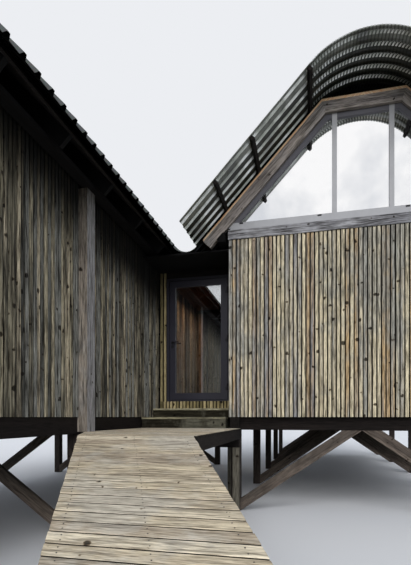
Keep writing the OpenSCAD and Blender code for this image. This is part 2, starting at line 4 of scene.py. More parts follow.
import bmesh
import bpy
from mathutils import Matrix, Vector

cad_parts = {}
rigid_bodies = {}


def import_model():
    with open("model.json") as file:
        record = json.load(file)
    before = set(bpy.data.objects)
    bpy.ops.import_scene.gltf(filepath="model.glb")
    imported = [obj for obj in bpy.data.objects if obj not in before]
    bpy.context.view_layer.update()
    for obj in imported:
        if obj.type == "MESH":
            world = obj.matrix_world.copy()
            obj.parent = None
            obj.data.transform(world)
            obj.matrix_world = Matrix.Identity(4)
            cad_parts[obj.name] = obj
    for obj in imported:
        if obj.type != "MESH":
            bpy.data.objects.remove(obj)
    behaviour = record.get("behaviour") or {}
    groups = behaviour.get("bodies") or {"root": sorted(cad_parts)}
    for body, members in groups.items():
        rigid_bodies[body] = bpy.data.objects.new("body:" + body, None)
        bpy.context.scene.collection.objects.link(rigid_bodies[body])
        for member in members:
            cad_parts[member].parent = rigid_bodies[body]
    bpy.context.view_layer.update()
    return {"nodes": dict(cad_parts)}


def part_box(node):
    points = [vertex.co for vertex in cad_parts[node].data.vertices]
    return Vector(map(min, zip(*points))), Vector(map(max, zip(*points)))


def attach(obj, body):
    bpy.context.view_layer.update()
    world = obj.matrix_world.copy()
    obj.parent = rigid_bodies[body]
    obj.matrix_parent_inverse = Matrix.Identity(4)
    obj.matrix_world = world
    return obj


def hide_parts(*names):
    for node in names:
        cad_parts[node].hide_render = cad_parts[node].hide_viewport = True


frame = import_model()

# Stilt house: two timber-clad volumes under one wave of ribbed sheet, with a glazed link and a boardwalk.
# Metres, +Y into the depth, the ground at Z = 0. The lengths repeat those of the solid model.

nodes = frame["nodes"]

house = {
    "centreX": 2.575,        # middle of a volume, from the middle of the link
    "halfW": 1.890,          # over the battens
    "coreX": 0.709,          # face of the wall behind the battens, on the side of the link
    "rightY": -2.23354,      # front gables
    "leftY": -6.86154,
    "length": 11.036,
    "baseZ": 1.400,          # lower edge of the cladding
    "gableTop": 4.020,       # underside of the gable fascia
    "sideTop": 4.200,
    "linkFront": -1.38354,
    "linkBack": 1.36646,
    "floorZ": 1.670,
    "slope": math.radians(46.5),
    "braceSlope": math.radians(35),
}
# The ribbed sheet is crimped across its ribs so that it bends round the ridge
ridge = {
    "panRadius": 0.985,      # to the upper face of the pans
    "axisZ": 5.10925,
    "ribs": 71,
    "pitch": 0.178,
    "ribHeight": 0.035,
    "ribTop": 0.028,
    "ribSide": 0.020,        # what a flank takes of the width
    "thick": 0.003,
    "verge": 0.801,          # from a gable to the sheet's edge
    "crimps": 38,
    "crimpDepth": 0.0060,
}
# Side, front gable and length of each volume
volumes = (
    (1, house["rightY"], house["length"]),
    (-1, house["leftY"], house["length"]),
)


# A feed is a value, a socket, or a node whose first output in use is taken; stops are those of a colour ramp
def addNode(tree, kind, feeds=None, stops=None, **settings):
    node = tree.nodes.new(kind)
    for name, value in settings.items():
        setattr(node, name, value)
    for name, value in (feeds or {}).items():
        if isinstance(value, bpy.types.Node):
            value = next(socket for socket in value.outputs if socket.enabled)
        if isinstance(value, bpy.types.NodeSocket):
            tree.links.new(value, node.inputs[name])
        else:
            node.inputs[name].default_value = value
    for i, (place, code) in enumerate(stops or []):
        elements = node.color_ramp.elements
        element = elements[i] if i < 2 else elements.new(place)
        element.position = place
        element.color = hexColour(code)
    return node


def hexColour(code):
    parts = [int(code[i:i + 2], 16) / 255 for i in (1, 3, 5)]
    return [p / 12.92 if p <= 0.04045 else ((p + 0.055) / 1.055) ** 2.4 for p in parts] + [1.0]


def newMaterial(name, feeds):
    material = bpy.data.materials.new(name)
    material.use_nodes = True
    tree = material.node_tree
    tree.nodes.clear()
    shader = addNode(tree, "ShaderNodeBsdfPrincipled", feeds)
    addNode(tree, "ShaderNodeOutputMaterial", {"Surface": shader})
    return material, tree, shader


def newObject(name, data):
    thing = bpy.data.objects.new(name, data)
    bpy.context.scene.collection.objects.link(thing)
    return thing


def meshObject(name, bm, material=None):
    mesh = bpy.data.meshes.new(name)
    bmesh.ops.recalc_face_normals(bm, faces=bm.faces)
    bm.to_mesh(mesh)
    bm.free()
    thing = newObject(name, mesh)
    if material:
        mesh.materials.append(material)
    return thing


def prism(bm, outline, low, high):
    near = [bm.verts.new((a, b, low)) for a, b in outline]
    far = [bm.verts.new((a, b, high)) for a, b in outline]
    bm.faces.new(near)
    bm.faces.new(far)
    for i in range(len(outline)):
        j = (i + 1) % len(outline)
        bm.faces.new((near[i], near[j], far[j], far[i]))


def bar(bm, x0, x1, y0, y1, z0, z1):
    prism(bm, [(x0, y0), (x1, y0), (x1, y1), (x0, y1)], z0, z1)


def ringPoints(radius, sides):
    angles = [i * math.tau / sides for i in range(sides)]
    return [(radius * math.cos(a), radius * math.sin(a)) for a in angles]


def newTree(name, sockets):
    tree = bpy.data.node_groups.new(name, "GeometryNodeTree")
    tree.interface.new_socket("Geometry", in_out="INPUT", socket_type="NodeSocketGeometry")
    tree.interface.new_socket("Geometry", in_out="OUTPUT", socket_type="NodeSocketGeometry")
    for label, kind in sockets.items():
        tree.interface.new_socket(label, in_out="INPUT", socket_type="NodeSocket" + kind)
    return tree, addNode(tree, "NodeGroupInput").outputs


# Makes the result one plain geometry of one finish
def endTree(tree, shape, finish):
    real = addNode(tree, "GeometryNodeRealizeInstances", {"Geometry": shape})
    done = addNode(tree, "GeometryNodeSetMaterial", {"Geometry": real, "Material": finish})
    addNode(tree, "NodeGroupOutput", {0: done})


# A tree is run once for each dictionary of inputs, and the results become one plain mesh of one finish
def runTree(name, unit, tree, runs):
    keys = {s.name: s.identifier for s in tree.interface.items_tree if s.in_out == "INPUT"}
    bm = bmesh.new()
    for run in runs:
        modifier = unit.modifiers.new("tree", "NODES")
        modifier.node_group = tree
        for label, value in run.items():
            modifier[keys[label]] = value
        unit.update_tag()
        bpy.context.view_layer.update()
        made = bpy.data.meshes.new_from_object(unit.evaluated_get(bpy.context.evaluated_depsgraph_get()))
        bm.from_mesh(made)
        bpy.data.meshes.remove(made)
        unit.modifiers.remove(modifier)
    for face in bm.faces:
        face.material_index = 0
    bpy.data.objects.remove(unit)
    return meshObject(name, bm, runs[0]["Finish"])


# One timber is repeated along a line. Each copy gets its own "tone" and "shade" for its colour.
rowTree, rowIn = newTree("timberRow", {
    "Start": "Vector", "Step": "Vector", "Count": "Int", "Turn": "Vector", "Thin": "Vector",
    "Slide": "Vector", "Seed": "Int", "Finish": "Material"})
rowLine = addNode(rowTree, "GeometryNodeMeshLine", {
    "Count": rowIn["Count"], "Start Location": rowIn["Start"], "Offset": rowIn["Step"]}, mode="OFFSET")
rowBack = addNode(rowTree, "ShaderNodeVectorMath", {0: rowIn["Slide"], "Scale": -1.0}, operation="SCALE")
rowSlide = addNode(rowTree, "FunctionNodeRandomValue", {
    0: rowBack, 1: rowIn["Slide"], "Seed": rowIn["Seed"]}, data_type="FLOAT_VECTOR")
rowPlaced = addNode(rowTree, "GeometryNodeSetPosition", {"Geometry": rowLine, "Offset": rowSlide})
rowLeast = addNode(rowTree, "ShaderNodeVectorMath", {0: (1, 1, 1), 1: rowIn["Thin"]}, operation="SUBTRACT")
rowSeed = addNode(rowTree, "ShaderNodeMath", {0: rowIn["Seed"], 1: 17.0}, operation="ADD")
rowSize = addNode(rowTree, "FunctionNodeRandomValue", {
    0: rowLeast, 1: (1, 1, 1), "Seed": rowSeed}, data_type="FLOAT_VECTOR")
rowLast = addNode(rowTree, "GeometryNodeInstanceOnPoints", {
    "Points": rowPlaced, "Instance": rowIn["Geometry"], "Rotation": rowIn["Turn"], "Scale": rowSize})
for label, shift in {"tone": 31.0, "shade": 57.0}.items():
    toneSeed = addNode(rowTree, "ShaderNodeMath", {0: rowIn["Seed"], 1: shift}, operation="ADD")
    toneValue = addNode(rowTree, "FunctionNodeRandomValue", {"Seed": toneSeed}, data_type="FLOAT")
    rowLast = addNode(rowTree, "GeometryNodeStoreNamedAttribute", {
        "Geometry": rowLast, "Name": label, "Value": toneValue}, data_type="FLOAT", domain="INSTANCE")
endTree(rowTree, rowLast, rowIn["Finish"])


# The inputs for one row
def rowRun(start, step, count, seed, finish, turn=(0, 0, 0), thin=(0, 0, 0), slide=(0, 0, 0)):
    return {"Start": start, "Step": step, "Count": count, "Turn": turn, "Thin": thin, "Slide": slide,
            "Seed": seed, "Finish": finish}


# How far out a place is from the middle of its volume, less than 0 towards the link
def fromMiddle(tree, x):
    out = addNode(tree, "ShaderNodeMath", {0: x}, operation="ABSOLUTE")
    return addNode(tree, "ShaderNodeMath", {0: out, 1: house["centreX"]}, operation="SUBTRACT")


# Coordinates with the grain along the first axis: "slope" is along the rafters, "brace" along the braces
def grainCoords(tree, place, grain):
    x, y, z = addNode(tree, "ShaderNodeSeparateXYZ", {0: place}).outputs[:]
    parts = {"x": (x, y, z), "y": (y, x, z), "z": (z, x, y)}.get(grain)
    if not parts:
        angle = {"slope": house["slope"], "brace": house["braceSlope"]}[grain]
        side = addNode(tree, "ShaderNodeMath", {0: fromMiddle(tree, x)}, operation="ABSOLUTE")
        turned = []
        for cosine, sine in ((math.cos(angle), -math.sin(angle)), (math.sin(angle), math.cos(angle))):
            up = addNode(tree, "ShaderNodeMath", {0: z, 1: sine}, operation="MULTIPLY")
            turned.append(addNode(tree, "ShaderNodeMath", {
                0: side, 1: cosine, 2: up}, operation="MULTIPLY_ADD"))
        parts = (turned[0], turned[1], y)
    tone = addNode(tree, "ShaderNodeAttribute", attribute_name="tone").outputs["Fac"]
    moved = addNode(tree, "ShaderNodeMath", {0: tone, 1: 31.0, 2: parts[0]}, operation="MULTIPLY_ADD")
    return addNode(tree, "ShaderNodeCombineXYZ", {0: moved, 1: parts[1], 2: parts[2]})


# How far in from the gables the roof's timbers and the ribs of its sheet are painted light, with painted
# shade farther in. The pans of the sheet are painted light only from farther out, where the daylight reaches
# them.
gableLight = {
    "timber": 0.075,
    "sheet": 0.13,
    "pans": -0.55,
}


# 1 outside a volume's gables and as far in as "inset", 0 in between, where the roof is painted dark as shade
def nearGable(tree, place, inset=gableLight["timber"]):
    x, y = addNode(tree, "ShaderNodeSeparateXYZ", {0: place}).outputs[:2]
    right, left = [(front + length / 2, length / 2 - inset) for side, front, length in volumes]
    side = addNode(tree, "ShaderNodeMath", {0: x, 1: 0.0}, operation="GREATER_THAN")
    middle = addNode(tree, "ShaderNodeMath", {
        0: side, 1: right[0] - left[0], 2: left[0]}, operation="MULTIPLY_ADD")
    reach = addNode(tree, "ShaderNodeMath", {
        0: side, 1: right[1] - left[1], 2: left[1]}, operation="MULTIPLY_ADD")
    off = addNode(tree, "ShaderNodeMath", {0: y, 1: middle}, operation="SUBTRACT")
    away = addNode(tree, "ShaderNodeMath", {0: off}, operation="ABSOLUTE")
    return addNode(tree, "ShaderNodeMath", {0: away, 1: reach}, operation="GREATER_THAN")


eavesShade = {
    "open": (-5.2, 3.2),         # Y and Z of the shade's lower edge, at the open end of the left wall
    "link": (-1.43, 2.75),       # and at the link
    "outerX": 1.0,               # walls farther out than this face away from the link
    "outerZ": 3.9,
    "fade": 0.8,
    "dark": 0.04,
}


# Painted shade: the walls are painted black under the eaves, and lower down towards the link
def belowEaves(tree, place):
    e = eavesShade
    x, y, z = addNode(tree, "ShaderNodeSeparateXYZ", {0: place}).outputs[:]
    start = addNode(tree, "ShaderNodeMapRange", {
        "Value": y, "From Min": e["open"][0], "From Max": e["link"][0], "To Min": e["open"][1],
        "To Max": e["link"][1]})
    out = addNode(tree, "ShaderNodeMath", {0: x}, operation="ABSOLUTE")
    outer = addNode(tree, "ShaderNodeMath", {0: out, 1: e["outerX"]}, operation="GREATER_THAN")
    low = addNode(tree, "ShaderNodeMix", {0: outer, 2: start, 3: e["outerZ"]})
    high = addNode(tree, "ShaderNodeMath", {0: low, 1: e["fade"]}, operation="ADD")
    return addNode(tree, "ShaderNodeMapRange", {
        "Value": z, "From Min": low, "From Max": high, "To Min": 1.0, "To Max": e["dark"]},
        interpolation_type="SMOOTHSTEP")


postShade = {"low": 3.8, "high": 4.2, "dark": 0.04}


# Painted shade: the post stands free of the wall, so it is painted dark only near its top
def postLight(tree, place):
    z = addNode(tree, "ShaderNodeSeparateXYZ", {0: place}).outputs[2]
    return addNode(tree, "ShaderNodeMapRange", {
        "Value": z, "From Min": postShade["low"], "From Max": postShade["high"], "To Min": 1.0,
        "To Max": postShade["dark"]})


# 1 on faces square to an axis, or with LESS_THAN on those along it
def turnedTo(tree, texture, axis, test="GREATER_THAN"):
    part = addNode(tree, "ShaderNodeSeparateXYZ", {0: texture["Normal"]}).outputs[axis]
    flat = addNode(tree, "ShaderNodeMath", {0: part}, operation="ABSOLUTE")
    return addNode(tree, "ShaderNodeMath", {0: flat, 1: 0.5}, operation=test)


# Larch and pine, sawn and left to weather: dull, with grain lines about 6 mm apart, streaks, knots up to
# 50 mm and patches gone grey, each timber in a tone of its own. "spread" and "start" say how far the tones
# differ, "lit" gives 0 where shade is painted on as near black, and "side" colours the faces that turn one
# way.
def timberFinish(name, grain, tones, weathered, patch=0.5, streaks=0.6, knots=0.13, roughness=0.8,
                 spread=0.75, start=0.0, lit=None, side=None):
    material, tree, shader = newMaterial(name, {"Roughness": roughness, "Specular IOR Level": 0.2})
    texture = addNode(tree, "ShaderNodeTexCoord").outputs
    place = texture["Object"]
    coords = grainCoords(tree, place, grain)
    long = addNode(tree, "ShaderNodeMapping", {"Vector": coords, "Scale": (0.06, 1.0, 1.0)})
    shade = addNode(tree, "ShaderNodeAttribute", attribute_name="shade").outputs["Fac"]
    broad = addNode(tree, "ShaderNodeTexNoise", {
        "Vector": long, "Scale": 11.0, "Detail": 4.0, "Roughness": 0.6})
    own = addNode(tree, "ShaderNodeMath", {0: shade, 1: spread, 2: start}, operation="MULTIPLY_ADD")
    choice = addNode(tree, "ShaderNodeMath", {0: broad, 1: 0.6, 2: own}, operation="MULTIPLY_ADD")
    colour = addNode(tree, "ShaderNodeValToRGB", {"Fac": choice}, stops=[
        (0.14 + 0.96 * i / len(tones), code) for i, code in enumerate(tones)])
    stretched = addNode(tree, "ShaderNodeMapping", {"Vector": place, "Scale": (1.1, 1.1, 0.7)})
    cloud = addNode(tree, "ShaderNodeTexNoise", {
        "Vector": stretched, "Scale": 1.0, "Detail": 6.0, "Roughness": 0.7})
    patches = addNode(tree, "ShaderNodeValToRGB", {"Fac": cloud}, stops=[
        (patch, "#000000"), (patch + 0.1, "#dcdcdc")])
    colour = addNode(tree, "ShaderNodeMix", {
        0: patches, 6: colour, 7: hexColour(weathered)}, data_type="RGBA")
    if side:
        axis, test, code = side
        turned = turnedTo(tree, texture, axis, test)
        colour = addNode(tree, "ShaderNodeMix", {0: turned, 6: colour, 7: hexColour(code)}, data_type="RGBA")
    rough = addNode(tree, "ShaderNodeTexNoise", {
        "Vector": long, "Scale": 48.0, "Detail": 3.0, "Roughness": 0.65})
    streak = addNode(tree, "ShaderNodeValToRGB", {"Fac": rough}, stops=[(0.34, "#4a4642"), (0.56, "#ffffff")])
    colour = addNode(tree, "ShaderNodeMix", {0: streaks, 6: colour, 7: streak}, data_type="RGBA",
                     blend_type="MULTIPLY")
    lines = addNode(tree, "ShaderNodeTexNoise", {
        "Vector": long, "Scale": 165.0, "Detail": 3.0, "Roughness": 0.6})
    fine = addNode(tree, "ShaderNodeValToRGB", {"Fac": lines}, stops=[(0.34, "#8a857e"), (0.58, "#ffffff")])
    colour = addNode(tree, "ShaderNodeMix", {
        0: 0.75, 6: colour, 7: fine}, data_type="RGBA", blend_type="MULTIPLY")
    warp = addNode(tree, "ShaderNodeTexNoise", {"Vector": coords, "Scale": 16.0, "Detail": 2.0})
    bent = addNode(tree, "ShaderNodeVectorMath", {
        0: warp.outputs["Color"], 1: (0.06, 0.06, 0.06), 2: coords}, operation="MULTIPLY_ADD")
    spots = addNode(tree, "ShaderNodeTexVoronoi", {"Vector": bent, "Scale": 8.0}).outputs
    cell = addNode(tree, "ShaderNodeSeparateColor", {0: spots["Color"]})
    size = addNode(tree, "ShaderNodeMath", {
        0: cell, 1: knots * 1.7, 2: knots * -0.4}, operation="MULTIPLY_ADD")
    edge = addNode(tree, "ShaderNodeMath", {0: spots["Distance"], 1: size}, operation="SUBTRACT")
    knot = addNode(tree, "ShaderNodeValToRGB", {"Fac": edge}, stops=[
        (0.0, "#1f1813"), (0.035, "#7c6a58"), (0.08, "#ffffff")])
    colour = addNode(tree, "ShaderNodeMix", {
        0: 0.9, 6: colour, 7: knot}, data_type="RGBA", blend_type="MULTIPLY")
    # Painted shade: near black where "lit" gives 0
    if lit:
        colour = addNode(tree, "ShaderNodeMix", {
            0: lit(tree, place), 6: hexColour("#040404"), 7: colour}, data_type="RGBA")
    bump = addNode(tree, "ShaderNodeBump", {"Height": lines, "Strength": 0.35, "Distance": 0.002})
    tree.links.new(colour.outputs[2], shader.inputs["Base Color"])
    tree.links.new(bump.outputs[0], shader.inputs["Normal"])
    return material


gableBatten = timberFinish(
    "larchBattens", "z", ["#857d6b", "#ddcfb0", "#b1b0a8", "#d0b286", "#9a9b9f", "#ebdebf"], "#a3a39d",
    patch=0.51, streaks=0.8, spread=0.85)
# Side-wall battens, with painted shade from belowEaves: black under the eaves and lower towards the link
wallBatten = timberFinish(
    "weatheredBattensEavesShade", "z",
    ["#181817", "#b0a893", "#2c2c2b", "#d6cbb0", "#5c5b53", "#f0e2c6", "#3b3b38", "#a3a39d"], "#64645f",
    patch=0.54, streaks=1.0, spread=0.9, lit=belowEaves)
silverBatten = timberFinish(
    "silverBattens", "z", ["#a9aaad", "#d6d6d4", "#bcbcbc", "#e2e0da"], "#c6c8cc", streaks=0.3)
jambBatten = timberFinish(
    "shelteredBattens", "z", ["#4c4530", "#b3a274", "#7d7454", "#c9b88c"], "#6d6854", patch=0.55)
greyTimber = timberFinish(
    "greyTimberX", "x", ["#86868b", "#b6b6ba", "#98989d", "#c2c2c6"], "#8a8a90",
    start=0.2, streaks=0.95, knots=0.08)
# Rafters and collars, painted near black as shade farther in from the gables (nearGable)
bargeTimber = {axis: timberFinish(
    "roofTimber" + axis.title(), axis, ["#8a7d76", "#c2b8b0", "#9a9392", "#b8aba2"], "#a9a6a6",
    start=0.2, streaks=0.8, knots=0.06, lit=nearGable) for axis in ("slope", "x")}
# The stilts are painted dark, as the shade under the house
stiltTimber = timberFinish(
    "stiltTimber", "z", ["#352f2d", "#4a423e", "#2b2726"], "#3a3534", start=0.2, knots=0.05)
braceTimber = timberFinish(
    "braceTimber", "brace", ["#5a5048", "#80746a", "#4c4541", "#6e645b"], "#625b55", start=0.2, knots=0.07)
deckPostTimber = timberFinish(
    "deckPostTimber", "z", ["#6b665c", "#8a8476", "#5c584f"], "#6f6b62", start=0.2)
# Timber stained dark, and painted near black as the shade under the floors, the link and the roof
darkTimber = {axis: timberFinish(
    "stainAndShadeTimber" + axis.upper(), axis, ["#171413", "#241f1d", "#110f0f"], "#1a1716",
    start=0.2, knots=0.04) for axis in "xy"}
# Painted shade: the eaves beams and the link's ceiling are near black
blackTimber = timberFinish(
    "shadeBlackBoards", "y", ["#0b0b0c", "#131213", "#0e0d0e"], "#101010", start=0.2, knots=0.03)
# The corner post, with painted shade from postLight near its top
postTimber = timberFinish(
    "cornerPost", "z", ["#92877d", "#b6aa9c", "#8c847c", "#aca298"], "#a09e9b",
    start=0.2, streaks=0.8, knots=0.12, side=(0, "GREATER_THAN", "#b4b3b6"), lit=postLight)
# The boards' edges and ends are painted near black, as the shade in the gaps between them
walkBoard = timberFinish(
    "bleachedBoards", "x", ["#bdac92", "#e8d9bc", "#d0c1a8", "#f4e7cd", "#c6b7a1"], "#d4cdbf",
    streaks=0.6, spread=0.75, knots=0.08, side=(2, "LESS_THAN", "#1d1a16"))
# Its darkest tone, which the front and side boards of the steps take, is painted shade
stepBoard = timberFinish(
    "stepBoards", "x", ["#2b281f", "#756f5a", "#b0a98e", "#8a846c", "#c2ba98"], "#6d6b5e",
    start=-0.2, spread=1.0, knots=0.08)
ceilingBoard = timberFinish(
    "ceilingBoards", "y", ["#7c5238", "#a06c46", "#8a5c3e"], "#8c6044", knots=0.05)
hallBoard = timberFinish(
    "hallBoards", "z", ["#5f4434", "#e6ab74", "#94684a", "#f2cb9c", "#4f3c32"], "#a87c5c",
    roughness=0.6, spread=0.9, knots=0.06)


# Plywood on the rafters, peeled veneers glued crosswise: its raw edges show as thin orange and pale layers
# at the gables, and all its other faces are painted near black as shade
def liningFinish():
    material, tree, shader = newMaterial("liningPly", {"Roughness": 0.75})
    texture = addNode(tree, "ShaderNodeTexCoord").outputs
    edge = turnedTo(tree, texture, 1)
    coords = grainCoords(tree, texture["Object"], "slope")
    plies = addNode(tree, "ShaderNodeMapping", {"Vector": coords, "Scale": (3.0, 190.0, 3.0)})
    layers = addNode(tree, "ShaderNodeTexNoise", {"Vector": plies, "Scale": 1.0, "Detail": 2.0})
    raw = addNode(tree, "ShaderNodeValToRGB", {"Fac": layers}, stops=[(0.35, "#f0b07a"), (0.62, "#ffe8c8")])
    # Painted shade: all faces but the raw edges at the gables are near black
    colour = addNode(tree, "ShaderNodeMix", {0: edge, 6: hexColour("#17110d"), 7: raw}, data_type="RGBA")
    tree.links.new(colour.outputs[2], shader.inputs["Base Color"])
    return material


# Painted shade in the crimps round the ridge, as dark lines across the ribs
def crimpShade(tree, place):
    x, _, z = addNode(tree, "ShaderNodeSeparateXYZ", {0: place}).outputs[:]
    off = fromMiddle(tree, x)
    up = addNode(tree, "ShaderNodeMath", {0: z, 1: ridge["axisZ"]}, operation="SUBTRACT")
    angle = addNode(tree, "ShaderNodeMath", {0: off, 1: up}, operation="ARCTAN2")
    past = addNode(tree, "ShaderNodeMath", {0: angle, 1: house["slope"]}, operation="ADD")
    half = house["slope"] / ridge["crimps"]
    wave = addNode(tree, "ShaderNodeMath", {0: past, 1: half}, operation="PINGPONG")
    share = addNode(tree, "ShaderNodeMath", {0: wave, 1: half}, operation="DIVIDE")
    wide = addNode(tree, "ShaderNodeMath", {0: angle}, operation="ABSOLUTE")
    inside = addNode(tree, "ShaderNodeMath", {0: wide, 1: house["slope"]}, operation="LESS_THAN")
    depth = addNode(tree, "ShaderNodeMath", {0: share, 1: inside}, operation="MULTIPLY")
    return addNode(tree, "ShaderNodeValToRGB", {"Fac": depth}, stops=[(0.4, "#ffffff"), (0.95, "#74776f")])


# Galvanised steel sheet, dipped in zinc and rolled into ribs: dull above, with faint spangles. Below, the
# ribs' flanks carry a painted highlight at the verges, the pans are grey with green and black stains and
# painted lighter far out past the gables, and the sheet over the walls is painted black as shade.
def sheetFinish():
    material, tree, shader = newMaterial("galvanisedSheet", {"Roughness": 0.4})
    texture = addNode(tree, "ShaderNodeTexCoord").outputs
    place = texture["Object"]
    nz = addNode(tree, "ShaderNodeSeparateXYZ", {0: texture["Normal"]}).outputs[2]
    top = addNode(tree, "ShaderNodeMath", {0: nz, 1: 0.01}, operation="GREATER_THAN")
    flank = turnedTo(tree, texture, 1)
    # Painted light: the pans far out past the gables are lighter grey
    outermost = nearGable(tree, place, gableLight["pans"])
    pan = addNode(tree, "ShaderNodeMix", {
        0: outermost, 6: hexColour("#34372f"), 7: hexColour("#9a9d97")}, data_type="RGBA")
    # Painted highlight: the flanks, which face the gables, are near white
    below = addNode(tree, "ShaderNodeMix", {0: flank, 6: pan, 7: hexColour("#f2f4f0")}, data_type="RGBA")
    sized = addNode(tree, "ShaderNodeMapping", {"Vector": place, "Scale": (2.6, 1.3, 2.6)})
    damp = addNode(tree, "ShaderNodeTexNoise", {
        "Vector": sized, "Scale": 1.0, "Detail": 5.0, "Roughness": 0.6})
    stain = addNode(tree, "ShaderNodeValToRGB", {"Fac": damp}, stops=[
        (0.36, "#2a2c2a"), (0.46, "#8a9080"), (0.62, "#ffffff")])
    below = addNode(tree, "ShaderNodeMix", {
        0: 0.7, 6: below, 7: stain}, data_type="RGBA", blend_type="MULTIPLY")
    # Painted shade in the crimps
    crimps = crimpShade(tree, place)
    crimped = addNode(tree, "ShaderNodeMix", {0: 0.85, 6: below, 7: crimps}, data_type="RGBA",
                      blend_type="MULTIPLY")
    # Painted shade: the sheet over the walls is near black
    verge = nearGable(tree, place, gableLight["sheet"])
    below = addNode(tree, "ShaderNodeMix", {0: verge, 6: hexColour("#0d0e0f"), 7: crimped}, data_type="RGBA")
    spangle = addNode(tree, "ShaderNodeTexVoronoi", {"Vector": place, "Scale": 55.0}).outputs["Color"]
    zinc = addNode(tree, "ShaderNodeMix", {0: 0.12, 6: hexColour("#4d5151"), 7: spangle}, data_type="RGBA",
                   blend_type="OVERLAY")
    colour = addNode(tree, "ShaderNodeMix", {0: top, 6: below, 7: zinc}, data_type="RGBA")
    tree.links.new(colour.outputs[2], shader.inputs["Base Color"])
    half = addNode(tree, "ShaderNodeMath", {0: top, 1: 0.5}, operation="MULTIPLY")
    bright = addNode(tree, "ShaderNodeMath", {0: half, 1: flank}, operation="MAXIMUM")
    shine = addNode(tree, "ShaderNodeMath", {0: bright, 1: 0.6, 2: 0.1}, operation="MULTIPLY_ADD")
    tree.links.new(shine.outputs[0], shader.inputs["Metallic"])
    return material


# Metal with coloured powder baked on it, or blackened or zinc-plated: satin, with the faintest orange peel
def coatedMetal(name, code, wornCode, roughness):
    material, tree, shader = newMaterial(name, {"Roughness": roughness})
    place = addNode(tree, "ShaderNodeTexCoord").outputs["Object"]
    wear = addNode(tree, "ShaderNodeTexNoise", {"Vector": place, "Scale": 3.0, "Detail": 4.0})
    colour = addNode(tree, "ShaderNodeMix", {
        0: wear, 6: hexColour(code), 7: hexColour(wornCode)}, data_type="RGBA")
    tree.links.new(colour.outputs[2], shader.inputs["Base Color"])
    peel = addNode(tree, "ShaderNodeTexNoise", {"Vector": place, "Scale": 420.0, "Detail": 1.0})
    bump = addNode(tree, "ShaderNodeBump", {"Height": peel, "Strength": 0.08, "Distance": 0.0005})
    tree.links.new(bump.outputs[0], shader.inputs["Normal"])
    return material


windowFrame = {"mullionX": 0.376, "mullionHalf": 0.034, "railTop": 4.278}


# Grey oil paint brushed on timber frames: dull, and lighter on the sill rail and the mullions than on the
# sloped members
def frameFinish():
    material, tree, shader = newMaterial("greyFramePaint", {"Roughness": 0.6})
    place = addNode(tree, "ShaderNodeTexCoord").outputs["Object"]
    x, _, z = addNode(tree, "ShaderNodeSeparateXYZ", {0: place}).outputs[:]
    half = addNode(tree, "ShaderNodeMath", {0: fromMiddle(tree, x)}, operation="ABSOLUTE")
    mullion = addNode(tree, "ShaderNodeMath", {
        0: half, 1: windowFrame["mullionX"], 2: windowFrame["mullionHalf"]}, operation="COMPARE")
    rail = addNode(tree, "ShaderNodeMath", {0: z, 1: windowFrame["railTop"]}, operation="LESS_THAN")
    lighterMembers = addNode(tree, "ShaderNodeMath", {0: mullion, 1: rail}, operation="MAXIMUM")
    wear = addNode(tree, "ShaderNodeTexNoise", {
        "Vector": place, "Scale": 4.0, "Detail": 6.0, "Roughness": 0.7})
    lighterGrey = addNode(tree, "ShaderNodeMix", {0: wear, 6: hexColour("#98989c"), 7: hexColour("#b8b8bb")},
                       data_type="RGBA")
    colour = addNode(tree, "ShaderNodeMix", {0: lighterMembers, 6: hexColour("#5e5d63"), 7: lighterGrey}, data_type="RGBA")
    tree.links.new(colour.outputs[2], shader.inputs["Base Color"])
    return material


# Float glass, clear or with a thin metal film against the sun. It is a mirror of the share "mirrored" over
# a view straight through: high for the film in the gables, low for the clear panes of the link.
def paneFinish(name, code, mirrored):
    return newMaterial(name, {
        "Base Color": hexColour(code), "Metallic": 1.0, "Roughness": 0.01, "Alpha": mirrored})[0]


# Felt soaked in bitumen, behind the battens: black and quite dull
def feltFinish():
    material, tree, shader = newMaterial("backingFelt", {"Roughness": 0.95, "Specular IOR Level": 0.05})
    place = addNode(tree, "ShaderNodeTexCoord").outputs["Object"]
    fuzz = addNode(tree, "ShaderNodeTexNoise", {"Vector": place, "Scale": 6.0})
    colour = addNode(tree, "ShaderNodeValToRGB", {"Fac": fuzz}, stops=[(0.3, "#0b0b0c"), (0.7, "#151414")])
    tree.links.new(colour.outputs[0], shader.inputs["Base Color"])
    return material


zincSheet = sheetFinish()
liningPly = liningFinish()
felt = feltFinish()
doorPaint = coatedMetal("anthracitePaint", "#24232b", "#302f38", 0.38)
blackIron = coatedMetal("blackIron", "#141317", "#1e1c20", 0.45)
nailSteel = coatedMetal("nailSteel", "#3a3532", "#55504c", 0.55)
framePaint = frameFinish()
screwSteel = coatedMetal("screwSteel", "#8d8f90", "#a0a2a3", 0.4)
solarGlass = paneFinish("solarGlass", "#fdfdfe", 0.95)
doorGlass = paneFinish("doorGlass", "#f4f7f9", 0.45)
backGlass = paneFinish("clearGlass", "#f4f7f9", 0.06)
print("finishes")


battens = {
    "pitch": 0.0595,
    "width": 0.0435,
    "depth": 0.0240,
    "edge": 0.0030,
    "thin": (0.10, 0.30, 0.0),   # most that a batten's width, depth and height may lack, as shares
    "slide": 0.002,
    "corner": 0.026,             # from a gable to the first batten round its corner
}
# The link's own faces: beside the door, and in a low strip under it
linkFace = {
    "half": 0.685,
    "jambs": (-0.558, 0.565),    # sides of the door frames
    "top": 3.9,
}


# A timber with two eased edges, standing on Z, with its back on y = 0 and its face towards -Y
def timberUnit(sizes, height):
    w, d, e = sizes["width"] / 2, sizes["depth"], sizes["edge"]
    bm = bmesh.new()
    prism(bm, [(-w, 0), (-w, e - d), (e - w, -d), (w - e, -d), (w, e - d), (w, 0)], 0, height)
    return meshObject("timberUnit", bm)


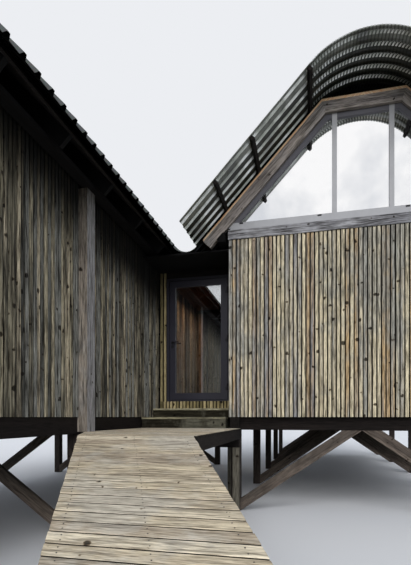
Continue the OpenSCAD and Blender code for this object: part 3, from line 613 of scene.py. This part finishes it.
# Upright battens between two ends of a wall, standing out from "face"; "facing" is -y, +y, -x or +x
def battenRun(facing, face, start, end, seed, finish, z0=house["baseZ"], sizes=battens):
    count = max(1, round((end - start) / sizes["pitch"]))
    pitch = (end - start) / count
    first = start + pitch / 2
    turn = (0, 0, {"-y": 0.0, "+y": math.pi, "+x": math.pi / 2, "-x": -math.pi / 2}[facing])
    slide = sizes["slide"]
    alongX = facing[1] == "y"
    return rowRun(
        (first, face, z0) if alongX else (face, first, z0), (pitch, 0, 0) if alongX else (0, pitch, 0),
        count, seed, finish, turn, sizes["thin"], (slide, 0, 0) if alongX else (0, slide, 0))


def cladHouse():
    h, corner, depth = house, battens["corner"], battens["depth"]
    inner, outer = h["coreX"], h["centreX"] + h["halfW"] - depth
    gables, walls, shaded = [], [], []
    for side, front, length in volumes:
        back = front + length
        x0, x1 = sorted((side * (inner - depth), side * (outer + depth)))
        gables.append(battenRun("-y", front + depth, x0, x1, 3 + side, gableBatten))
        gables.append(battenRun("+y", back - depth, x0, x1, 7 + side, gableBatten))
        out, away = ("+x", "-x") if side > 0 else ("-x", "+x")
        walls.append(battenRun(out, side * outer, front + corner, back - corner, 11 + side, wallBatten))
        ends = [(front + corner, h["linkFront"]), (h["linkBack"], back - corner)]
        if side < 0:
            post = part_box("corner_post")
            shaded.append(battenRun(away, side * inner, *ends.pop(), 29, silverBatten))
            ends = [(front + corner, post[0].y), (post[1].y, h["linkFront"])]
        for i, (start, end) in enumerate(ends):
            walls.append(battenRun(away, side * inner, start, end, 21 + i * 5 + side, wallBatten))
    runTree("gableBattens", timberUnit(battens, h["gableTop"] - h["baseZ"]), rowTree, gables)
    runTree("sideBattens", timberUnit(battens, h["sideTop"] - h["baseZ"]), rowTree, walls)
    runTree("backBattens", timberUnit(battens, h["sideTop"] - h["baseZ"]), rowTree, shaded)
    jambs, strips = [], []
    half, (left, right) = linkFace["half"], linkFace["jambs"]
    for facing, face in (("-y", h["linkFront"] + depth), ("+y", h["linkBack"] - depth)):
        for start, end in ((-half, left), (right, half)):
            jambs.append(battenRun(facing, face, start, end, 41, jambBatten, h["floorZ"]))
        strips.append(battenRun(facing, face, -half, half, 43, jambBatten))
    runTree("jambBattens", timberUnit(battens, linkFace["top"] - h["floorZ"]), rowTree, jambs)
    runTree("sillBattens", timberUnit(battens, h["floorZ"] - h["baseZ"]), rowTree, strips)


cladHouse()
print("battens on the walls and the link")


boards = {
    "slope": math.radians(14.73),
    "skew": math.radians(25.1),
    "foldY": -4.91354,       # where the landing ends and the slope starts
    "deckZ": 1.233,
    "right": 0.875,
    "width": 1.110,
    "left": -0.655,
    "thick": 0.030,
    "gap": 0.012,
    "edge": 0.004,
    "slide": 0.003,
    "pitch": 0.1110,
    "count": 44,             # the lowest one is cut off at the ground
    "deckPitch": 2.68 / 24,  # from the fold to the lower step in equal boards
    "deckCount": 24,
}


# A board along X with its upper edges eased and its ends on a skewed line; its near edge is at y = 0
def boardUnit(x0, x1, width, thick, lean=0.0):
    e = boards["edge"]
    bm = bmesh.new()
    section = [(0, -thick), (0, -e), (e, 0), (width - e, 0), (width, -e), (width, -thick)]
    ends = [[bm.verts.new((x - y * lean, y, z)) for y, z in section] for x in (x0, x1)]
    for ring in ends:
        bm.faces.new(ring)
    for i in range(len(section)):
        j = (i + 1) % len(section)
        bm.faces.new((ends[0][i], ends[0][j], ends[1][j], ends[1][i]))
    return meshObject("boardUnit", bm)


# Cuts away what lies on the side that "away" points to, and closes the cut
def cutOff(thing, place, away):
    bm = bmesh.new()
    bm.from_mesh(thing.data)
    bmesh.ops.bisect_plane(bm, geom=bm.verts[:] + bm.edges[:] + bm.faces[:], plane_co=place,
                           plane_no=away, clear_outer=True)
    bmesh.ops.holes_fill(bm, edges=[e for e in bm.edges if e.is_boundary])
    bmesh.ops.recalc_face_normals(bm, faces=bm.faces)
    bm.to_mesh(thing.data)
    bm.free()


def layBoards():
    b = boards
    lean = math.tan(b["skew"]) * math.cos(b["slope"])
    pitch, c, s = b["pitch"], math.cos(b["slope"]), math.sin(b["slope"])
    ramp = rowRun(
        (b["right"] + pitch * lean, b["foldY"] - pitch * c, b["deckZ"] - pitch * s),
        (pitch * lean, -pitch * c, -pitch * s), b["count"], 5, walkBoard, (b["slope"], 0, 0),
        slide=(b["slide"], 0, 0))
    unit = boardUnit(-b["width"], 0, pitch - b["gap"], b["thick"], lean)
    rampBoards = runTree("rampBoards", unit, rowTree, [ramp])
    cutOff(rampBoards, (0, 0, 0), (0, 0, -1))
    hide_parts("ramp_deck")
    landing = rowRun((0, b["foldY"] + b["gap"] / 2, b["deckZ"]), (0, b["deckPitch"], 0), b["deckCount"], 8,
                     walkBoard)
    unit = boardUnit(b["left"], b["right"], b["deckPitch"] - b["gap"], b["thick"])
    landingBoards = runTree("landingBoards", unit, rowTree, [landing])
    # the corner beside the left volume is cut off in line with the boardwalk
    cutOff(landingBoards, (b["right"] - b["width"], b["foldY"], 0),
           (-math.cos(b["skew"]), -math.sin(b["skew"]), 0))
    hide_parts("landing_deck")


layBoards()
print("boards of the boardwalk and the landing")


steps = {
    "left": -0.680,
    "right": 0.645,
    "base": 1.203,
    "thick": 0.030,
    "gap": 0.008,
    "riserIn": 0.008,
    "sideIn": 0.002,
    "sideD": 0.024,
    "lower": (-2.23354, -1.72354, 1.400, 5),     # front, back, top, boards
    "upper": (-1.72354, -1.38354, 1.542, 3),
}


# Treads on a front board and two sides
def boxStep(name, node, seed):
    front, back, top, count = steps[name]
    x0, x1, thick = steps["left"], steps["right"], steps["thick"]
    pitch = (back - front) / count
    treads = rowRun((0, front, top), (0, pitch, 0), count, seed, stepBoard)
    thing = runTree(name + "StepBoards", boardUnit(x0, x1, pitch - steps["gap"], thick), rowTree, [treads])
    bm = bmesh.new()
    bm.from_mesh(thing.data)
    base = steps["base"] if name == "lower" else steps["lower"][2]
    low, riser = top - thick, front + steps["riserIn"]
    inset, depth = steps["sideIn"], steps["sideD"]
    # These boards have no tone values of their own, so they take the darkest tone: painted shade
    bar(bm, x0 + inset, x1 - inset, riser, riser + depth, base, low)
    for edge in (x0 + inset, x1 - inset - depth):
        bar(bm, edge, edge + depth, riser + depth, back - inset, base, low)
    bmesh.ops.recalc_face_normals(bm, faces=bm.faces)
    bm.to_mesh(thing.data)
    bm.free()
    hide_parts(node)


boxStep("lower", "lower_step", 5)
boxStep("upper", "upper_step", 3)
print("box steps")


nails = {
    "radius": 0.0045,
    "height": 0.0012,
    "sunk": 0.002,
    "slide": (0.006, 0.004, 0),
    "inset": 0.026,              # from a board's long edges
    "sideIn": 0.0225,
    "rampIn": (0.0825, 0.555, 1.0275),
    "middleX": -0.1675,
    "cutBoards": 8,              # have no left end, as the landing's corner is cut off
}


def nailUnit():
    bm = bmesh.new()
    prism(bm, ringPoints(nails["radius"], 8), -nails["sunk"], nails["height"])
    return meshObject("nailUnit", bm)


def nailBoards():
    b, inset, sideIn = boards, nails["inset"], nails["sideIn"]
    pitch, c, s = b["pitch"], math.cos(b["slope"]), math.sin(b["slope"])
    lean = math.tan(b["skew"]) * c
    rampRuns, flatRuns = [], []
    for inX in nails["rampIn"]:
        for t in (inset, pitch - b["gap"] - inset):
            far = pitch - t
            rampRuns.append(rowRun(
                (b["right"] - inX + far * lean, b["foldY"] - far * c, b["deckZ"] - far * s),
                (pitch * lean, -pitch * c, -pitch * s), b["count"] - 1, round(inX * 100), nailSteel,
                (b["slope"], 0, 0), slide=nails["slide"]))
    flat = b["deckPitch"]
    lines = [(b["left"] + sideIn, nails["cutBoards"])]
    lines += [(x, 0) for x in (nails["middleX"], steps["right"] - sideIn, b["right"] - sideIn)]
    for x, skip in lines:
        for t in (inset, flat - b["gap"] - inset):
            flatRuns.append(rowRun(
                (x, b["foldY"] + b["gap"] / 2 + t + skip * flat, b["deckZ"]), (0, flat, 0),
                b["deckCount"] - skip, round(x * 100) + 200, nailSteel, slide=nails["slide"]))
    runTree("rampNails", nailUnit(), rowTree, rampRuns)
    runTree("landingNails", nailUnit(), rowTree, flatRuns)


nailBoards()
print("nails")


# A flat ribbed sheet is drawn along a line, bent round an arc, and pinched in a little at each crimp
ridgeTree, ridgeIn = newTree("crimpedRidge", {
    "Radius": "Float", "Arc": "Float", "Crimps": "Int", "Crimp Depth": "Float", "Centre": "Vector",
    "Finish": "Material"})
halfArc = addNode(ridgeTree, "ShaderNodeMath", {0: ridgeIn["Arc"], 1: 0.5}, operation="MULTIPLY")
halfLength = addNode(ridgeTree, "ShaderNodeMath", {0: ridgeIn["Radius"], 1: halfArc}, operation="MULTIPLY")
backLength = addNode(ridgeTree, "ShaderNodeMath", {0: halfLength, 1: -1.0}, operation="MULTIPLY")
railStart = addNode(ridgeTree, "ShaderNodeCombineXYZ", {0: backLength})
railEnd = addNode(ridgeTree, "ShaderNodeCombineXYZ", {0: halfLength})
rail = addNode(ridgeTree, "GeometryNodeCurvePrimitiveLine", {"Start": railStart, "End": railEnd})
railCount = addNode(ridgeTree, "ShaderNodeMath", {
    0: ridgeIn["Crimps"], 1: 2.0, 2: 1.0}, operation="MULTIPLY_ADD")
railPoints = addNode(ridgeTree, "GeometryNodeResampleCurve", {"Curve": rail, "Count": railCount})
ridgeProfile = addNode(ridgeTree, "GeometryNodeMeshToCurve", {"Mesh": ridgeIn["Geometry"]})
flatSheet = addNode(ridgeTree, "GeometryNodeCurveToMesh", {
    "Curve": railPoints, "Profile Curve": ridgeProfile, "Fill Caps": True})
flatPlace = addNode(ridgeTree, "GeometryNodeInputPosition")
flatX, flatY, flatZ = addNode(ridgeTree, "ShaderNodeSeparateXYZ", {0: flatPlace}).outputs[:]
bendAngle = addNode(ridgeTree, "ShaderNodeMath", {0: flatX, 1: ridgeIn["Radius"]}, operation="DIVIDE")
halfCrimp = addNode(ridgeTree, "ShaderNodeMath", {0: halfLength, 1: ridgeIn["Crimps"]}, operation="DIVIDE")
fromEnd = addNode(ridgeTree, "ShaderNodeMath", {0: flatX, 1: halfLength}, operation="ADD")
crimpWave = addNode(ridgeTree, "ShaderNodeMath", {0: fromEnd, 1: halfCrimp}, operation="PINGPONG")
crimpShare = addNode(ridgeTree, "ShaderNodeMath", {0: crimpWave, 1: halfCrimp}, operation="DIVIDE")
crimpIn = addNode(ridgeTree, "ShaderNodeMath", {
    0: crimpShare, 1: ridgeIn["Crimp Depth"]}, operation="MULTIPLY")
outRadius = addNode(ridgeTree, "ShaderNodeMath", {0: ridgeIn["Radius"], 1: flatZ}, operation="ADD")
bendRadius = addNode(ridgeTree, "ShaderNodeMath", {0: outRadius, 1: crimpIn}, operation="SUBTRACT")
bendSine = addNode(ridgeTree, "ShaderNodeMath", {0: bendAngle}, operation="SINE")
bendCosine = addNode(ridgeTree, "ShaderNodeMath", {0: bendAngle}, operation="COSINE")
bentX = addNode(ridgeTree, "ShaderNodeMath", {0: bendRadius, 1: bendSine}, operation="MULTIPLY")
bentZ = addNode(ridgeTree, "ShaderNodeMath", {0: bendRadius, 1: bendCosine}, operation="MULTIPLY")
bentPlace = addNode(ridgeTree, "ShaderNodeCombineXYZ", {0: bentX, 1: flatY, 2: bentZ})
movedPlace = addNode(ridgeTree, "ShaderNodeVectorMath", {0: bentPlace, 1: ridgeIn["Centre"]}, operation="ADD")
bentSheet = addNode(ridgeTree, "GeometryNodeSetPosition", {"Geometry": flatSheet, "Position": movedPlace})
endTree(ridgeTree, bentSheet, ridgeIn["Finish"])


# Closed outline of the sheet as seen along its ribs
def sheetProfile(ribs):
    r = ridge
    line = [(0.0, 0.0)]
    for i in range(ribs):
        middle = (i + 0.5) * r["pitch"]
        reach, half = r["ribTop"] / 2 + r["ribSide"], r["ribTop"] / 2
        line += [(middle - reach, 0.0), (middle - half, r["ribHeight"]), (middle + half, r["ribHeight"]),
                 (middle + reach, 0.0)]
    line.append((ribs * r["pitch"], 0.0))
    ring = line + [(a, h - r["thick"]) for a, h in reversed(line)]
    mesh = bpy.data.meshes.new("sheetProfile")
    mesh.from_pydata([(-a, -h, 0) for a, h in ring], [(i, (i + 1) % len(ring)) for i in range(len(ring))], [])
    return newObject("sheetProfile", mesh)


for name, (side, front, length) in zip(("ridgeSheetRight", "ridgeSheetLeft"), volumes):
    thing = runTree(name, sheetProfile(ridge["ribs"]), ridgeTree, [{
        "Radius": ridge["panRadius"], "Arc": 2 * house["slope"], "Crimps": ridge["crimps"],
        "Crimp Depth": ridge["crimpDepth"], "Finish": zincSheet,
        "Centre": (side * house["centreX"], front - ridge["verge"], ridge["axisZ"])}])
    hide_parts("ridge_sheets")
print("crimped ridges")


# Roofing screws with washers on the ribs, over each purlin
screws = {
    "washer": 0.0095,
    "washerTop": 0.0015,
    "head": 0.0045,
    "height": 0.0065,
    "sunk": 0.001,
    "slide": (0, 0.003, 0),
    "rafterX": 1.866,            # a point on the rafters' underside, from a volume's middle
    "rafterZ": 4.231,
    "rafterD": 0.150,
    "lift": 0.121,               # from the rafters to the top of a rib
    "purlins": (0.695, 1.415, 1.896),
}


def screwUnit():
    bm = bmesh.new()
    prism(bm, ringPoints(screws["washer"], 8), -screws["sunk"], screws["washerTop"])
    prism(bm, ringPoints(screws["head"], 6), screws["washerTop"], screws["height"])
    return meshObject("screwUnit", bm)


def screwSheets():
    w, slope, runs = screws, house["slope"], []
    for side, front, length in volumes:
        first = front - ridge["verge"] + ridge["pitch"] / 2
        for x in w["purlins"]:
            z = w["rafterZ"] + (w["rafterX"] - x) * math.tan(slope) + w["rafterD"] / math.cos(slope)
            out, up = x + w["lift"] * math.sin(slope), z + w["lift"] * math.cos(slope)
            for hand in (1, -1):
                runs.append(rowRun(
                    (side * house["centreX"] + hand * out, first, up), (0, ridge["pitch"], 0), ridge["ribs"],
                    round(x * 100), screwSteel, (0, hand * slope, 0), slide=w["slide"]))
    runTree("roofScrews", screwUnit(), rowTree, runs)


screwSheets()
print("roofing screws")


# Black clips that hold the panes, along the top of the bottom rail
clips = {
    "out": (-1.700, -0.580, 0.580, 1.700),
    "half": 0.027,
    "z": (4.256, 4.274),
    "proud": 0.007,
    "railBack": 0.040,
}


def clipPanes():
    bm = bmesh.new()
    for side, front, length in volumes:
        for face in (front + clips["railBack"], front + length - clips["railBack"]):
            outward = -1 if face < front + length / 2 else 1
            y0, y1 = sorted((face, face + outward * clips["proud"]))
            for out in clips["out"]:
                x = side * house["centreX"] + out
                bar(bm, x - clips["half"], x + clips["half"], y0, y1, *clips["z"])
    meshObject("paneClips", bm, blackIron)


clipPanes()
print("clips")


# Boards inside the link: on its walls, beside the door frames, over the doorways and on the ceiling
hall = {
    "pitch": 0.098,
    "width": 0.0955,
    "depth": 0.018,
    "edge": 0.004,
    "thin": (0.01, 0.12, 0.0),
    "slide": 0.0,
    "front": -1.23354,
    "back": 1.21646,
    "top": 3.895,
    "lintel": 3.798,
    "jambs": (-0.560, 0.567),        # sides of the door frames
    "leftDoor": (-1.21354, -0.31354),
    "rightDoor": (0.06646, 0.96646),
    "doorHead": 3.770,
    "ceiling": 3.900,
    "ceilingX": -0.637,              # middle of the first ceiling board
    "ceilingCount": 14,
    "ceilingThin": (0.01, 0.1, 0),
}


def lineHall():
    h, coreX, floorZ = hall, house["coreX"], house["floorZ"]
    near, far = h["front"], h["back"] - h["depth"]
    facings = {1: "-x", -1: "+x"}
    spans = ((1, near, h["rightDoor"][0]), (1, h["rightDoor"][1], far), (-1, h["leftDoor"][1], far))
    tall = [battenRun(facings[side], side * coreX, start, end, 61 + side, hallBoard, floorZ, h)
            for side, start, end in spans]
    jambs = [battenRun(facing, face, start, end, 66, hallBoard, floorZ, h)
             for facing, face in (("-y", h["back"]), ("+y", h["front"]))
             for start, end in ((-coreX, h["jambs"][0]), (h["jambs"][1], coreX))]
    short = [battenRun(facings[side], side * coreX, *door, 67 + side, hallBoard, h["doorHead"], h)
             for side, door in ((1, h["rightDoor"]), (-1, h["leftDoor"]))]
    runTree("hallWallBoards", timberUnit(h, h["top"] - floorZ), rowTree, tall)
    runTree("hallJambBoards", timberUnit(h, h["lintel"] - floorZ), rowTree, jambs)
    runTree("hallDoorHeads", timberUnit(h, h["top"] - h["doorHead"]), rowTree, short)
    ceiling = rowRun((h["ceilingX"], near, h["ceiling"]), (h["pitch"], 0, 0), h["ceilingCount"], 71,
                     ceilingBoard, (-math.pi / 2, math.pi, 0), h["ceilingThin"])
    runTree("hallCeilingBoards", timberUnit(h, h["back"] - near), rowTree, [ceiling])


lineHall()
print("boards inside the link")


doorStop = {"sideIn": 0.004, "gap": 0.002, "depth": 0.010, "below": 0.006, "above": 0.009}


# The leaf shuts against a low stop on the threshold, which keeps the daylight out under it
def stopDoor():
    d = doorStop
    low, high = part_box("door_leaf")
    face = high.y + d["gap"]
    bm = bmesh.new()
    bar(bm, low.x + d["sideIn"], high.x - d["sideIn"], face, face + d["depth"], low.z - d["below"],
        low.z + d["above"])
    meshObject("thresholdStop", bm, doorPaint)


stopDoor()
print("stop under the door")


finishes = (
    (felt, "gable_walls outer_walls right_inner_wall_front right_inner_wall_back left_inner_wall_front "
           "left_inner_wall_back doorway_infills link_jambs"),
    (darkTimber["x"], "floor_beams link_lintels landing_bearers"),
    (darkTimber["y"], "edge_beams floor_joists floors purlins landing_joists ramp_bearers"),
    (blackTimber, "eaves_beams link_ceiling"),
    (bargeTimber["slope"], "rafters"),
    (bargeTimber["x"], "collars"),
    (stiltTimber, "stilts"),
    (braceTimber, "stilt_braces"),
    (deckPostTimber, "deck_posts"),
    (postTimber, "corner_post"),
    (greyTimber, "gable_fascias"),
    (walkBoard, "landing_deck ramp_deck"),
    (stepBoard, "lower_step upper_step"),
    (liningPly, "slope_linings top_linings"),
    (zincSheet, "roof_slopes ridge_sheets valley_sheet"),
    (framePaint, "window_frames"),
    (solarGlass, "window_glass"),
    (doorGlass, "door_glass"),
    (backGlass, "link_back_glass"),
    (doorPaint, "door_frame door_leaf link_back_frame"),
    (blackIron, "door_handle frame_hinges door_hinges"),
)
for finish, names in finishes:
    for name in names.split():
        slots = nodes[name].data.materials
        if not slots:
            slots.append(finish)
        for i in range(len(slots)):
            slots[i] = finish
for thing in list(bpy.context.scene.objects):
    if thing.type == "MESH" and thing.name not in nodes:
        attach(thing, "house")
print("finishes on the solid nodes")


studio = {
    "floor": "#e6e7ea",
    "floorBounce": "#77776f",
    "sky": "#eceef2",
    "cloud": "#dadde2",
    "skyLight": "#dfe6f0",
    "ambient": 0.66,
    "sun": 2.5,
    "sunAngle": 45.0,
    "sunFrom": (0.16, -0.86, 0.48),
    "hallLight": 16.0,
    "hallLightSize": (1.0, 1.8),
    "hallLightDrop": 0.15,
    "hallLightColour": "#fff6ea",
    "floorHalf": 400,
}


# 1 for the rays that show the background itself, also in metal and glass
def seenRay(tree):
    path = addNode(tree, "ShaderNodeLightPath").outputs
    seen = addNode(tree, "ShaderNodeMath", {
        0: path["Is Camera Ray"], 1: path["Is Glossy Ray"]}, operation="MAXIMUM")
    return addNode(tree, "ShaderNodeMath", {0: seen, 1: path["Is Transmission Ray"]}, operation="MAXIMUM")


def makeStudio():
    bm = bmesh.new()
    bmesh.ops.create_grid(bm, x_segments=1, y_segments=1, size=studio["floorHalf"])
    material, tree, shader = newMaterial("paleFloor", {"Roughness": 0.95})
    bounce, seen = hexColour(studio["floorBounce"]), hexColour(studio["floor"])
    colour = addNode(tree, "ShaderNodeMix", {0: seenRay(tree), 6: bounce, 7: seen}, data_type="RGBA")
    tree.links.new(colour.outputs[2], shader.inputs["Base Color"])
    meshObject("studioFloor", bm, material)
    world = bpy.data.worlds.new("softSky")
    bpy.context.scene.world = world
    world.use_nodes = True
    tree = world.node_tree
    tree.nodes.clear()
    seen = seenRay(tree)
    # thin cloud shows in glass and metal only
    direction = addNode(tree, "ShaderNodeTexCoord").outputs["Generated"]
    cloud = addNode(tree, "ShaderNodeTexNoise", {
        "Vector": direction, "Scale": 6.0, "Detail": 6.0, "Roughness": 0.55})
    veil = addNode(tree, "ShaderNodeValToRGB", {
        "Fac": cloud}, stops=[(0.36, studio["cloud"]), (0.54, "#ffffff")])
    glossy = addNode(tree, "ShaderNodeLightPath").outputs["Is Glossy Ray"]
    shown = addNode(tree, "ShaderNodeMix", {
        0: glossy, 6: hexColour(studio["sky"]), 7: veil}, data_type="RGBA")
    colour = addNode(tree, "ShaderNodeMix", {
        0: seen, 6: hexColour(studio["skyLight"]), 7: shown}, data_type="RGBA")
    strength = addNode(tree, "ShaderNodeMath", {
        0: seen, 1: 1.0 - studio["ambient"], 2: studio["ambient"]}, operation="MULTIPLY_ADD")
    back = addNode(tree, "ShaderNodeBackground", {"Color": colour, "Strength": strength})
    addNode(tree, "ShaderNodeOutputWorld", {"Surface": back})
    lamp = bpy.data.lights.new("softSun", "SUN")
    lamp.energy = studio["sun"]
    lamp.angle = math.radians(studio["sunAngle"])
    sun = newObject("softSun", lamp)
    sun.visible_glossy = False       # no disc of light in the panes
    sun.rotation_euler = Vector(studio["sunFrom"]).to_track_quat("Z", "Y").to_euler()
    bpy.context.scene.view_settings.view_transform = "Standard"


viewpoint = {
    "place": (1.845, -8.53354, 1.400),
    "turn": 13.5,
    "lens": 27.526,
    "shiftX": 0.0009,
    "shiftY": 0.2381,
}


def makeCamera():
    data = bpy.data.cameras.new("viewpoint")
    data.lens = viewpoint["lens"]
    data.shift_x = viewpoint["shiftX"]
    data.shift_y = viewpoint["shiftY"]
    data.clip_start = 0.05
    data.clip_end = 2000
    camera = newObject("viewpoint", data)
    camera.location = viewpoint["place"]
    camera.rotation_euler = (math.radians(90), 0, math.radians(viewpoint["turn"]))
    bpy.context.scene.camera = camera


# Daylight that reaches the link from the rooms beside it
def lightHall():
    lamp = bpy.data.lights.new("roomLight", "AREA")
    lamp.shape = "RECTANGLE"
    lamp.size, lamp.size_y = studio["hallLightSize"]
    lamp.energy = studio["hallLight"]
    lamp.color = hexColour(studio["hallLightColour"])[:3]
    light = newObject("roomLight", lamp)
    light.visible_camera = False
    light.visible_glossy = False
    light.location = (0, (hall["front"] + hall["back"]) / 2, hall["top"] - studio["hallLightDrop"])


makeStudio()
lightHall()
makeCamera()
print("studio and camera")
